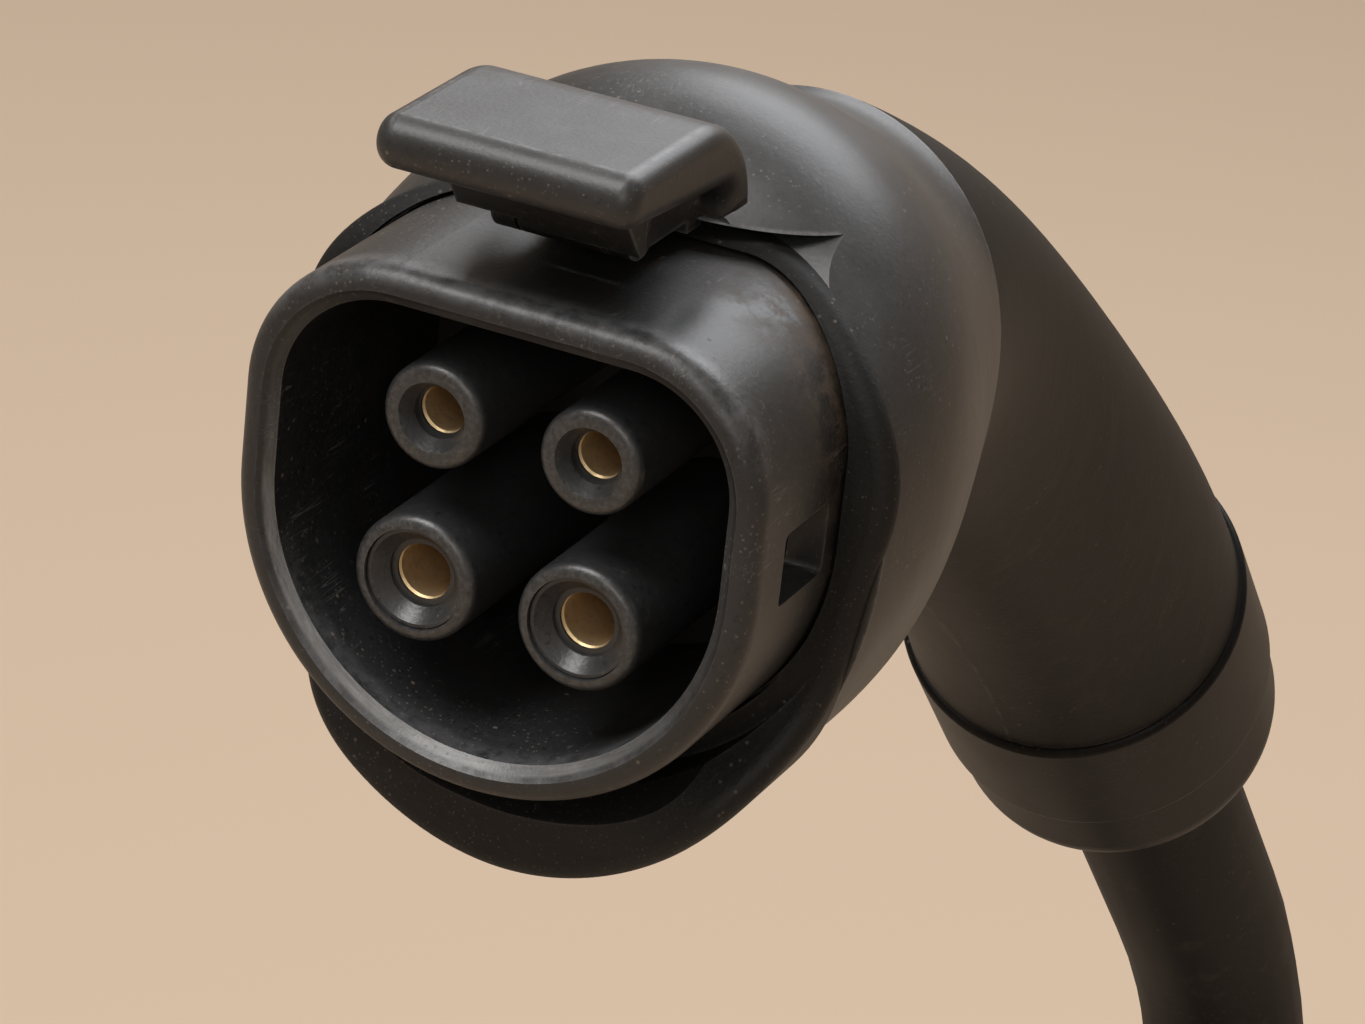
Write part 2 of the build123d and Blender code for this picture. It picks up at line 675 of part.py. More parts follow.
def grip_half(block, side):
    """One shell of the grip: side is 1 for the right one and -1 for the left."""
    gap = 0.02
    room = Pos(side * (PAST_ALL / 2 + gap), 0, 0) * Box(PAST_ALL, 2 * PAST_ALL, 2 * PAST_ALL)
    return block & room


def grip_screws():
    group = []
    for y, z in boss_places():
        seat = Plane(origin=(-GRIP_SCREW_SEAT, y, z), z_dir=(-1, 0, 0))
        group.append(seat * screw(GRIP_SCREW_LENGTH))
    return Compound(group)


def head_screw_places():
    """Seats of the two screws through the head's left wall into the neck of the grip."""
    half_width, rise, drop = HEAD_STATIONS[-1][3:6]
    places = []
    for height in HEAD_SCREW_HEIGHTS:
        limit = rise if height > 0 else drop
        reach = half_width * math.sqrt(1 - (height / limit) ** 2)
        seat = seam_plane().offset(-NECK_LENGTH / 2)
        origin = seat.origin + seat.y_dir * height
        x = -(reach - 1.0)
        places.append(Plane(origin=(x, origin.Y, origin.Z), z_dir=(-1, 0, 0)))
    return places


def screw_hole():
    """Clearance hole for a screw, with room for its head."""
    shank = extrude(Circle(SCREW_DIAMETER / 2 + HOLE_CLEARANCE), amount=-9)
    return shank + extrude(Circle(SCREW_HEAD_DIAMETER / 2 + HOLE_CLEARANCE), amount=8)


def head_screws():
    return Compound([place * screw(7) for place in head_screw_places()])


# End of the grip


def end_ring():
    """Union ring that holds the two shells together and carries the end cap."""
    body = extrude(end_plane(0.3) * Circle(RING_RADIUS), amount=RING_LENGTH - 0.3)
    body = fillet(body.edges().filter_by(GeomType.CIRCLE), RING_ROUND)
    body -= extrude(end_plane(0) * Circle(SPIGOT_RADIUS + FIT_GAP), amount=SPIGOT_LENGTH + FIT_GAP)
    return body - extrude(end_plane(0) * Circle(CABLE_DIAMETER / 2 + 1), amount=RING_LENGTH)


def end_cap():
    """Rounded cap with a seat for the cable seal."""
    body = extrude(end_plane(RING_LENGTH) * Circle(CAP_RADIUS), amount=CAP_LENGTH)
    slope = math.radians(END_SLOPE)
    back = Vector(0, math.cos(slope), -math.sin(slope))
    circles = body.edges().filter_by(GeomType.CIRCLE)
    ends = sorted(circles, key=lambda edge: edge.arc_center.dot(back))
    body = fillet(ends[-1], CAP_ROUND)
    body -= extrude(end_plane(RING_LENGTH) * Circle(CABLE_DIAMETER / 2 + FIT_GAP), amount=CAP_LENGTH)
    return body - extrude(end_plane(RING_LENGTH) * Circle(seal_radius() + FIT_GAP), amount=seal_length())


def seal_radius():
    return CABLE_DIAMETER / 2 + 4.5


def seal_length():
    return CAP_LENGTH / 2


def cable_seal():
    """Rubber ring between the cable and the end cap."""
    ring = extrude(end_plane(RING_LENGTH) * Circle(seal_radius()), amount=seal_length() - 0.1)
    return ring - extrude(end_plane(RING_LENGTH) * Circle(CABLE_DIAMETER / 2 + 0.05), amount=seal_length())


# Cable clamp


def clamp_start():
    return -JACKET_START + 8


def clamp_half(side):
    """Half of the clamp on the cable's jacket: side is 1 for the upper and -1 for the lower."""
    ring = extrude(end_plane(clamp_start()) * Circle(CLAMP_RADIUS), amount=CLAMP_LENGTH)
    ring -= extrude(end_plane(clamp_start()) * Circle(CABLE_DIAMETER / 2 + 0.05), amount=CLAMP_LENGTH)
    middle = end_plane(clamp_start() + CLAMP_LENGTH / 2)
    room = Pos(0, side * (PAST_ALL + CLAMP_SPLIT) / 2, 0) * Box(PAST_ALL, PAST_ALL, PAST_ALL)
    ring = ring & (middle * room)
    for plane in clamp_screw_places():
        ring -= plane * screw_hole()
    return ring


def clamp_screw_places():
    middle = end_plane(clamp_start() + CLAMP_LENGTH / 2)
    places = []
    for side in (-1, 1):
        origin = middle.origin + middle.x_dir * side * CLAMP_SCREW_SPACING / 2 + middle.y_dir * CLAMP_SCREW_SEAT
        places.append(Plane(origin=origin, x_dir=middle.x_dir, z_dir=middle.y_dir))
    return places


def clamp_screws():
    return Compound([place * screw(CLAMP_SCREW_LENGTH) for place in clamp_screw_places()])


# Cable and cores


def along_end(distance):
    """Point on the cable's axis, at a distance beyond the start of the ring."""
    return end_plane(distance).origin


def tube(points, diameter, name=None):
    """Round bar through the points, with each corner as round as its two runs allow."""
    points = [Vector(point) for point in points]
    radii = []
    for before, here, after in zip(points, points[1:], points[2:]):
        turn = (here - before).get_angle(after - here)
        run = min((here - before).length, (after - here).length)
        radii.append(0.45 * run / math.tan(math.radians(turn / 2)))
    path = FilletPolyline(*points, radius=radii)
    start = Plane(origin=path @ 0, z_dir=path % 0)
    bar = sweep(start * Circle(diameter / 2), path=path)
    if name:
        expected = math.pi * diameter**2 / 4 * path.length
        print(name, "radii", [round(radius) for radius in radii], "length", round(path.length),
              "volume ratio", round(bar.volume / expected, 4))
    return bar


def core(x, z, diameter, name):
    """Insulated core from its crimp barrel to the end of the cable's jacket."""
    start = bulkhead_back() + CRIMP_LENGTH
    last = along_end(-JACKET_START)
    plane = end_plane(-JACKET_START)
    lift = CORE_LIFT if z > 0 else -CORE_LIFT
    finish = last + plane.x_dir * (-0.45 * x) + plane.y_dir * lift
    before = finish - plane.z_dir * CORE_LAST_RUN
    neck_y, neck_z = GRIP_STATIONS[0][:2]
    points = [
        (x, start, z),
        (x, start + CORE_FIRST_RUN, z),
        (0.75 * x, neck_y + 13, neck_z + 0.65 * z - 4),
        before,
        finish,
    ]
    return tube(points, diameter, name)


def tail_points():
    """Route of the cable from the clamp to the coil."""
    start = along_end(-JACKET_START)
    leave = along_end(RING_LENGTH + CAP_LENGTH + STRAIGHT_LENGTH)
    points = [start, leave]
    slope = END_SLOPE
    for step in range(TAIL_TURNS):
        slope += (180.0 - END_SLOPE) / TAIL_TURNS
        angle = math.radians(slope)
        points.append(points[-1] + Vector(0, math.cos(angle), -math.sin(angle)) * TAIL_RUN)
    return points


def coil_axis():
    """Upright axis of the coil; the tail runs into its lower outer turn."""
    meet = tail_points()[-1]
    return Axis((meet.X - COIL_RADIUS - CABLE_DIAMETER / 2, meet.Y, meet.Z), (0, 0, 1))


def coil_section(margin):
    """Outline round the coil's turns, two side by side and two high, with a margin."""
    meet = tail_points()[-1]
    middle = (meet.X - CABLE_DIAMETER / 2, meet.Y, meet.Z + CABLE_DIAMETER / 2)
    side = 2 * (CABLE_DIAMETER + margin)
    plane = Plane(origin=middle, x_dir=(1, 0, 0), z_dir=(0, -1, 0))
    return plane * RectangleRounded(side, side, CABLE_DIAMETER / 2 - 0.5 + margin)


def cable_coil():
    """Outer shape of the coil: four turns, two side by side and two high."""
    return revolve(coil_section(0), axis=coil_axis())


def coil_ties():
    """Straps that hold the turns of the coil together."""
    strap = coil_section(TIE_THICKNESS) - coil_section(0.05)
    width = math.degrees(TIE_WIDTH / COIL_RADIUS)
    tie = revolve(strap, axis=coil_axis(), revolution_arc=width)
    return Compound([tie.rotate(coil_axis(), angle) for angle in TIE_ANGLES])


def end_points():
    """Route of the last stretch: out of the coil's upper outer turn and round on top of the coil."""
    axis = coil_axis().position
    radius = COIL_RADIUS + CABLE_DIAMETER / 2
    points = []
    for step in range(END_RUNS + 1):
        angle = math.radians(END_START - END_STEP * step)
        climb = min(1.0, step / CLIMB_RUNS)
        rise = CABLE_DIAMETER * (1 + (1 - math.cos(math.pi * climb)) / 2)
        points.append(axis + Vector(radius * math.cos(angle), radius * math.sin(angle), rise))
    return points


def core_ends():
    """Middle line and diameter of each stripped core beyond the cable's far end."""
    before, last = end_points()[-2:]
    plane = Plane(origin=last, z_dir=last - before)
    ends = []
    for name, x, z, sleeve, pin, diameter in contact_places():
        across_part = math.copysign(4.4, x)
        up_part = math.copysign(4.4, z)
        line = []
        for spread, reach in ((1.0, 0.0), (1.0, STRIPPED_LENGTH / 2), (1.7, STRIPPED_LENGTH)):
            line.append(plane.from_local_coords(Vector(across_part * spread, up_part * spread, reach)))
        ends.append((line, diameter))
    return ends


def end_cores():
    """The four insulated cores where they come out of the far end of the jacket."""
    return Compound([tube(line, diameter) for line, diameter in core_ends()])


def end_ferrules():
    """Metal sleeves crimped on the four stripped cores."""
    group = []
    for line, diameter in core_ends():
        plane = Plane(origin=line[-1], z_dir=line[-1] - line[-2])
        ferrule = extrude(plane * Circle(0.3 * diameter), amount=FERRULE_LENGTH)
        group.append(ferrule)
    return Compound(group)


def build():
    """Every node of the charging plug, by name."""
    parts = {}
    parts["nozzle_shroud"] = nozzle_shroud()
    parts["contact_carrier"] = contact_carrier()
    for name, x, z, sleeve, pin, core_diameter in contact_places():
        parts["contact_" + name] = contact(x, z, pin)
        parts["sleeve_" + name] = contact_sleeve(name, x, z, sleeve, pin)
        parts["core_" + name] = core(x, z, core_diameter, "core_" + name)
        if name.startswith("lower"):
            parts["guard_ring_" + name.split("_")[1]] = guard_ring(x, z, pin)
    parts["contact_retainer"] = contact_retainer()
    parts["core_screws"] = core_screws()
    parts["front_collar"] = front_collar()
    parts["shroud_seal"] = shroud_seal()
    parts["head_housing"] = head_housing()
    parts["latch_lever"] = latch_lever()
    parts["latch_pin"] = latch_pin()
    parts["latch_spring"] = latch_spring()
    block = grip_block()
    parts["grip_left"] = grip_half(block, -1)
    parts["grip_right"] = grip_half(block, 1)
    parts["grip_screws"] = grip_screws()
    parts["head_screws"] = head_screws()
    parts["end_ring"] = end_ring()
    parts["end_cap"] = end_cap()
    parts["cable_seal"] = cable_seal()
    parts["clamp_upper"] = clamp_half(1)
    parts["clamp_lower"] = clamp_half(-1)
    parts["clamp_screws"] = clamp_screws()
    parts["cable_tail"] = tube(tail_points(), CABLE_DIAMETER, "cable_tail")
    parts["cable_coil"] = cable_coil()
    parts["coil_ties"] = coil_ties()
    parts["cable_end"] = tube(end_points(), CABLE_DIAMETER, "cable_end")
    parts["end_cores"] = end_cores()
    parts["end_ferrules"] = end_ferrules()
    return parts


os.makedirs("parts", exist_ok=True)
for node, shape in build().items():
    print(node, "solids", len(shape.solids()), "volume", round(shape.volume), "valid", shape.is_valid)
    export_step(shape, f"parts/{node}.step")
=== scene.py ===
"""Looks of a hand-held charging plug with its latch and its coiled cable."""

import math

import bpy
from mathutils import Matrix, Vector


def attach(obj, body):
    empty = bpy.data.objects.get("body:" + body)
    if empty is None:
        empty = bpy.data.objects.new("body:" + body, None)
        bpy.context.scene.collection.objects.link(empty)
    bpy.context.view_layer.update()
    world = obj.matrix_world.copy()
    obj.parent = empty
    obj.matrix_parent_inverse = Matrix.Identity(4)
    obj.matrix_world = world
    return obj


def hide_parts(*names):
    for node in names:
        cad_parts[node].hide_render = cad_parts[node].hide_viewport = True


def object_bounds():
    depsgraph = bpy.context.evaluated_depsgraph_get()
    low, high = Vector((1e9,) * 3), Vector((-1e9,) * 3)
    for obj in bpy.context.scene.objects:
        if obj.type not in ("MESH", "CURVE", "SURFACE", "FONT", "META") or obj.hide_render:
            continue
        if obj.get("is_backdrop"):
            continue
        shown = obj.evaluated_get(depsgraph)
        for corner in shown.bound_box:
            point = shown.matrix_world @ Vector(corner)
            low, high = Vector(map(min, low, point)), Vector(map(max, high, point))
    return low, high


bl_info = {
    "name": "Charging plug",
    "version": (1, 0, 0),
    "blender": (4, 5, 0),
    "location": "3D View > Sidebar > Charging plug",
    "description": "Finishes, cable and stage of a hand-held charging plug",
    "category": "Object",
}

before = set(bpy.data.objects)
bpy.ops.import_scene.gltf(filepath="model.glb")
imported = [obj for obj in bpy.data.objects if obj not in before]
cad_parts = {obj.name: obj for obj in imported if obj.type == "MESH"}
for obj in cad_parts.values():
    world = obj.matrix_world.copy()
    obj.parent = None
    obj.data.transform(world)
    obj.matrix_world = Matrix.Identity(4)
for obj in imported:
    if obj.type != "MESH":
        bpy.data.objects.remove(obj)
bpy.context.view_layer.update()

# The cable, in metres, as the solids have it. Distances along it start where the end ring starts: its
# hidden beginning, the cap's end and a point just outside the cap
CABLE_BEGIN = 0.020
CAP_END = 0.0438
CABLE_OUT = 0.045
CABLE_START = (0.0, 0.1826, -0.076)
CABLE_SLOPE = math.radians(46.0)
STRAIGHT_LENGTH = 0.118
TAIL_RUN = 0.095
TAIL_TURNS = 4
COIL_RADIUS = 0.1375

# The coil's route: degrees from corner to corner, how far the corners lie outside the bend, where the
# last stretch starts in degrees, its runs, the runs in which it climbs and those between two lanes
COIL_STEP = 20.0
CORNER_REACH = 1.015
END_START = 80.0
END_RUNS = 8
CLIMB_RUNS = 5
CHANGE_RUNS = 4

# Where wear, dirt, painted sheen and painted shade fade in or out, in millimetres from the frame's origin
MOUTH_CHAMFER = (1.5, 1.9)
MOUTH_FACE = (0.35, 0.75)
# Painted sheen on the top of the shroud's lip, in place of a highlight
LIP_SHEEN = (2.0, 5.5)
STAIN_ACROSS = (8.0, 22.0)
STAIN_ALONG = (10.0, 20.0)
STAIN_UP = (-4.0, 16.0)
SHROUD_ROOT = (14.0, 21.0)
SLEEVE_FRONT = (3.15, 3.9)
# Painted shade on the collar above its chin
CHIN_TOP = (-24.0, -8.0)

# Worn line on the latch's top, in millimetres from the frame's origin
LATCH_WEAR_X = 12.6
LATCH_WEAR_FRONT = -2.6
LATCH_WEAR_BACK = 12.0

# Speckle of the moulded plastic
SPECKLE_LIGHT = (0.075, 0.075, 0.073)
SPECKLE_DARK = (0.004, 0.004, 0.004)

# Insulation of the cores
CORE_COLOURS = {
    "core_upper_left": (0.5, 0.5, 0.47),
    "core_upper_right": (0.10, 0.30, 0.09),
    "core_lower_left": (0.16, 0.07, 0.035),
    "core_lower_right": (0.05, 0.12, 0.36),
}
END_CORE_COLOUR = CORE_COLOURS["core_upper_left"]

# Stage: half the floor's width and its distance below the object, how much of the floor's colour doesn't
# depend on the lamps, the air and the backdrop
FLOOR_HALF_WIDTH = 6.0
FLOOR_GAP = 0.0002
FLOOR_EVENNESS = 0.5
AIR_COLOUR = (1.0, 0.84, 0.68)
AIR_STRENGTH = 0.15
BACKDROP_COLOUR = (0.38, 0.30, 0.23)

# Lamps: place and target in metres, width in metres, power in watts and colour
LAMPS = {
    "key": ((-0.35, -0.50, 1.15), (0.0, 0.03, 0.0), 0.7, 16.0, (1.0, 0.98, 0.96)),
    "back": ((-0.05, 1.00, 0.90), (0.0, 0.06, 0.02), 1.0, 16.0, (0.93, 0.96, 1.0)),
    "front": ((0.42, -0.95, 0.62), (0.0, 0.0, 0.0), 0.5, 2.8, (1.0, 0.97, 0.94)),
}

# Camera: its place in metres, its angles in degrees, its lens and its sensor in millimetres
CAMERA_PLACE = (0.2164, -0.4610, 0.2336)
CAMERA_AZIMUTH = 23.0
CAMERA_ELEVATION = 24.2
CAMERA_ROLL = 6.4
CAMERA_LENS = 148.5
CAMERA_SENSOR = 36.0


# Shader building


# Sockets of the Mix node that carry colours, by number because several share a name
MIX_FACTOR = 0
MIX_FIRST = 6
MIX_SECOND = 7
MIX_RESULT = 2


class Wire:
    """An output of a shader node. Arithmetic on it adds Math nodes to the material."""

    def __init__(self, shader, socket):
        self.shader = shader
        self.socket = socket

    def __add__(self, other):
        return self.shader.math("ADD", self, other)

    def __radd__(self, other):
        return self.shader.math("ADD", other, self)

    def __sub__(self, other):
        return self.shader.math("SUBTRACT", self, other)

    def __rsub__(self, other):
        return self.shader.math("SUBTRACT", other, self)

    def __mul__(self, other):
        return self.shader.math("MULTIPLY", self, other)

    def __rmul__(self, other):
        return self.shader.math("MULTIPLY", other, self)

    def __neg__(self):
        return self.shader.math("MULTIPLY", self, -1.0)

    def __abs__(self):
        return self.shader.math("ABSOLUTE", self)

    def clamped(self):
        """The value, kept between 0 and 1."""
        return self.shader.math("MAXIMUM", self.shader.math("MINIMUM", self, 1.0), 0.0)

    def rising(self, low, high):
        """0 below low, 1 above high and a smooth step between them."""
        settings = {"interpolation_type": "SMOOTHSTEP"}
        inputs = {"Value": self, "From Min": low, "From Max": high}
        return self.shader.add("ShaderNodeMapRange", settings, inputs)["Result"]

    def falling(self, low, high):
        """1 below low, 0 above high and a smooth step between them."""
        return 1.0 - self.rising(low, high)

    def near(self, middle, reach):
        """1 at the middle value, fading to 0 at reach on each side of it."""
        return abs(self - middle).falling(0.0, reach)


class Outputs:
    """The outputs of a node, by name or by number."""

    def __init__(self, shader, node):
        self.shader = shader
        self.node = node

    def __getitem__(self, name):
        return Wire(self.shader, self.node.outputs[name])


class Shader:
    """Nodes of one material or of the world."""

    def __init__(self, owner):
        owner.use_nodes = True
        self.owner = owner
        self.tree = owner.node_tree
        self.tree.nodes.clear()

    def add(self, kind, settings=None, inputs=None):
        """Adds a node: its settings first, then the values or wires of its inputs."""
        node = self.tree.nodes.new(kind)
        for key, value in (settings or {}).items():
            setattr(node, key, value)
        for key, value in (inputs or {}).items():
            socket = node.inputs[key]
            if isinstance(value, Wire):
                self.tree.links.new(value.socket, socket)
            else:
                socket.default_value = value
        return Outputs(self, node)

    def math(self, operation, first, second=0.0):
        """Result of a Math node."""
        return self.add("ShaderNodeMath", {"operation": operation}, {0: first, 1: second})["Value"]

    def blend(self, factor, first, second):
        """Colour that goes from first to second as the factor goes from 0 to 1."""
        settings = {"data_type": "RGBA", "clamp_factor": True}
        inputs = {MIX_FACTOR: factor, MIX_FIRST: rgba(first), MIX_SECOND: rgba(second)}
        return self.add("ShaderNodeMix", settings, inputs)[MIX_RESULT]

    def noise(self, place, size, detail=3.0, roughness=0.5):
        """Cloudy noise whose features are about size metres across."""
        inputs = {"Vector": place, "Scale": 1.0 / size, "Detail": detail, "Roughness": roughness}
        return self.add("ShaderNodeTexNoise", {"noise_dimensions": "3D"}, inputs)["Fac"]

    def cells(self, place, size):
        """Distance pattern of scattered cells, size metres apart."""
        inputs = {"Vector": place, "Scale": 1.0 / size}
        return self.add("ShaderNodeTexVoronoi", {"feature": "F1"}, inputs)["Distance"]

    def stretched(self, place, turn, scale):
        """Place turned and scaled, for streaks that run one way."""
        inputs = {"Vector": place, "Rotation": turn, "Scale": scale}
        return self.add("ShaderNodeMapping", {"vector_type": "POINT"}, inputs)["Vector"]


def rgba(colour):
    """Colour with its fourth channel; the wire of a colour stays as it is."""
    if isinstance(colour, Wire):
        return colour
    return (colour[0], colour[1], colour[2], 1.0)


class Finish:
    """A surface finish built up in layers of colour, roughness and height.

    x, y and z are places on the piece in millimetres, from the same origin as the frame.
    """

    def __init__(self, name, colour, roughness):
        self.shader = Shader(bpy.data.materials.new(name))
        coordinates = self.shader.add("ShaderNodeTexCoord")
        self.place = coordinates["Object"]
        parts = self.shader.add("ShaderNodeSeparateXYZ", None, {"Vector": self.place})
        self.x = parts["X"] * 1000.0
        self.y = parts["Y"] * 1000.0
        self.z = parts["Z"] * 1000.0
        facing = self.shader.add("ShaderNodeSeparateXYZ", None, {"Vector": coordinates["Normal"]})
        self.facing_x = facing["X"]
        self.facing_y = facing["Y"]
        self.facing_z = facing["Z"]
        self.colour = colour
        self.roughness = roughness
        self.height = 0.0

    def patches(self, size, low, high, detail=3.0, roughness=0.5):
        """1 in cloudy patches about size metres across and 0 between them; low and high set how many."""
        return self.shader.noise(self.place, size, detail, roughness).rising(low, high)

    def specks(self, size, low, high):
        """1 in round specks, size metres apart, that fade out from low to high, as shares of that size."""
        return self.shader.cells(self.place, size).falling(low, high)

    def layer(self, mask, colour=None, roughness=None, height=0.0):
        """Lays a colour, roughness or height (in millimetres) where the mask is 1."""
        if colour is not None:
            self.colour = self.shader.blend(mask, self.colour, colour)
        if roughness is not None:
            self.roughness = self.roughness + mask * (roughness - self.roughness)
        if height:
            self.height = self.height + mask * height

    def mottle(self, size, amount):
        """Slow uneven shade of the moulded surface."""
        cloud = self.patches(size, 0.35, 0.7, 4.0, 0.6)
        darker = [channel * (1.0 - amount) for channel in self.colour]
        lighter = [channel * (1.0 + amount) for channel in self.colour]
        self.colour = self.shader.blend(cloud, darker, lighter)
        self.roughness = self.roughness + (cloud - 0.5) * (0.1 * amount)

    def speckle(self, amount):
        """Fine light and dark speckle that dry moulded plastic shows close by."""
        fine = self.shader.noise(self.place, 0.0008, 3.0, 0.75)
        self.colour = self.shader.blend(fine.rising(0.60, 0.74) * amount, self.colour, SPECKLE_LIGHT)
        self.colour = self.shader.blend(fine.falling(0.30, 0.44) * amount, self.colour, SPECKLE_DARK)

    def grain(self, size, depth):
        """Fine texture of the mould, depth in millimetres."""
        fine = self.shader.noise(self.place, size, 2.0, 0.6)
        self.height = self.height + (fine - 0.5) * depth

    def dust(self, size, level, colour, strength):
        """Pale specks that lie scattered on the surface, with finer ones between them."""
        specks = self.specks(size, 0.07, 0.17)
        patches = self.patches(0.011, level, level + 0.14)
        self.layer(specks * patches * strength, colour, 0.75)
        finer = self.specks(size * 0.43, 0.10, 0.22)
        spread = self.patches(0.017, level - 0.08, level + 0.1, 4.0, 0.7)
        self.layer(finer * spread * strength * 0.6, colour, 0.75)

    def scratches(self, size, turn, colour, strength):
        """Short fine scratches that run about one way."""
        streaks = self.shader.stretched(self.place, turn, (1.0, 0.045, 1.0))
        lines = self.shader.noise(streaks, size, 1.0).near(0.5, 0.012)
        patches = self.patches(0.009, 0.56, 0.66, 2.0)
        mask = lines * patches * strength
        self.layer(mask, colour, 0.5, -0.01)

    def edge(self, width, colour, strength, roughness=0.5):
        """Lighter line along edges, width metres wide: worn edges on most pieces, a painted highlight on
        the end ring and the cap.
        """
        rounded = self.shader.add("ShaderNodeBevel", {"samples": 6}, {"Radius": width})["Normal"]
        geometry = self.shader.add("ShaderNodeNewGeometry")
        inputs = {0: rounded, 1: geometry["Normal"]}
        match = self.shader.add("ShaderNodeVectorMath", {"operation": "DOT_PRODUCT"}, inputs)["Value"]
        broken = self.patches(0.004, 0.36, 0.62, 4.0, 0.7)
        mask = match.falling(0.90, 0.985) * broken * strength
        self.layer(mask, colour, roughness)

    def surface(self, **constants):
        """Joins the layers in one surface; the constants go straight to its sockets."""
        inputs = {"Base Color": rgba(self.colour), "Roughness": self.roughness}
        for name, value in constants.items():
            inputs[name.replace("_", " ").title().replace("Ior", "IOR")] = value
        if isinstance(self.height, Wire):
            bump = {"Strength": 1.0, "Distance": 0.001, "Height": self.height}
            inputs["Normal"] = self.shader.add("ShaderNodeBump", None, bump)["Normal"]
        return self.shader.add("ShaderNodeBsdfPrincipled", None, inputs)["BSDF"]

    def done(self, **constants):
        """The finished material."""
        inputs = {"Surface": self.surface(**constants)}
        self.shader.add("ShaderNodeOutputMaterial", None, inputs)
        return self.shader.owner


# Finishes


def shaded(colour, factor):
    """The colour made darker or lighter by a factor."""
    return [channel * factor for channel in colour]


def shroud_plastic(settings):
    """Satin plastic with a scuffed chamfer in its mouth, painted sheen on the top of its lip, a grimy root
    and dust on its side.
    """
    finish = Finish("shroud plastic", list(settings.plastic), 0.45)
    finish.mottle(0.02, 0.22)
    finish.speckle(0.75)
    finish.grain(0.0006, 0.03)
    bright = settings.wear_and_highlight
    # Below 0 where the surface faces the middle of the mouth
    outwards = finish.facing_x * finish.x + finish.facing_z * (finish.z + 2.0)
    inner_edge = finish.y.falling(*MOUTH_CHAMFER) * (-finish.facing_y).rising(0.3, 0.55)
    chamfer = inner_edge * (-outwards).rising(2.0, 8.0)
    along_ring = finish.shader.stretched(finish.place, (0, 0, 0), (1, 12, 1))
    rings = finish.shader.noise(along_ring, 0.0045, 4.0, 0.7).rising(0.12, 0.66)
    low = (finish.z + finish.x * 0.45).falling(-26.0, 0.0)
    scuffed = chamfer * finish.y.rising(*MOUTH_FACE) * rings * (0.10 + 0.90 * low)
    finish.layer(scuffed, shaded(bright, 1.25), 0.40)
    # Painted sheen: the upward-facing front of the lip made lighter, in place of a highlight
    lip_sheen = finish.y.falling(*LIP_SHEEN) * finish.facing_z.rising(0.1, 0.7)
    broken = finish.patches(0.0025, 0.30, 0.62, 5.0, 0.7)
    finish.layer(lip_sheen * broken * 0.7, settings.painted_sheen, 0.36)
    stain = finish.y.rising(*STAIN_ALONG) * finish.z.rising(*STAIN_UP) * finish.x.rising(*STAIN_ACROSS)
    patch = finish.patches(0.005, 0.40, 0.60, 5.0, 0.7)
    finish.layer(stain * patch * 0.75, settings.stain, 0.8)
    root = finish.y.rising(*SHROUD_ROOT) * finish.patches(0.007, 0.42, 0.62, 4.0, 0.6)
    finish.layer(root * 0.5, settings.grime_and_reflection, 0.7)
    finish.edge(0.0004, bright, 0.35)
    finish.dust(0.0020, 0.48, settings.dust, 0.8)
    finish.scratches(0.0011, (0.3, 0.0, 0.5), bright, 0.5)
    return finish.done(specular_ior_level=0.5)


def sleeve_plastic(settings):
    """Dark satin plastic of the sleeves and rings, a little worn on the front."""
    finish = Finish("sleeve plastic", shaded(settings.plastic, 1.5), 0.36)
    finish.speckle(0.85)
    finish.grain(0.0005, 0.035)
    broken = finish.patches(0.0006, 0.42, 0.66, 4.0, 0.7)
    finish.layer(finish.y.falling(*SLEEVE_FRONT) * broken * 0.2, settings.wear_and_highlight, 0.42)
    finish.dust(0.0014, 0.56, settings.dust, 0.4)
    return finish.done(specular_ior_level=0.6)


def cavity_plastic(settings):
    """Dark plastic of the floor of the mouth, with dust that settled in it."""
    finish = Finish("cavity plastic", shaded(settings.plastic, 0.6), 0.55)
    finish.mottle(0.012, 0.2)
    finish.grain(0.0005, 0.02)
    finish.dust(0.0022, 0.50, settings.dust, 0.5)
    return finish.done(specular_ior_level=0.4)


def brass(settings):
    """Warm machined brass, dulled by use, with fine turning lines and light tarnish."""
    finish = Finish("contact brass", list(settings.brass), 0.46)
    squeezed = finish.shader.stretched(finish.place, (0, 0, 0), (1, 30, 1))
    turning = finish.shader.noise(squeezed, 0.004, 2.0)
    finish.height = finish.height + turning * 0.006
    tarnish = finish.patches(0.0012, 0.45, 0.72, 4.0, 0.7)
    finish.layer(tarnish * 0.45, shaded(settings.brass, 0.5), 0.6)
    finish.layer(finish.specks(0.0008, 0.08, 0.2) * 0.3, (0.25, 0.13, 0.07), 0.7)
    return finish.done(metallic=0.75)


def collar_rubber(settings):
    """Coarse black elastomer of the bumper, with painted shade above its chin."""
    finish = Finish("collar rubber", shaded(settings.plastic, 0.45), 0.56)
    finish.mottle(0.012, 0.2)
    finish.speckle(0.35)
    finish.grain(0.0009, 0.09)
    finish.grain(0.0003, 0.02)
    finish.edge(0.0008, shaded(settings.wear_and_highlight, 0.6), 0.3, 0.6)
    # Painted shade: the collar made darker above its chin
    finish.layer(finish.z.rising(*CHIN_TOP) * 0.8, shaded(settings.plastic, 0.2), 0.7)
    finish.dust(0.0016, 0.48, settings.dust, 0.5)
    return finish.done(specular_ior_level=0.3)


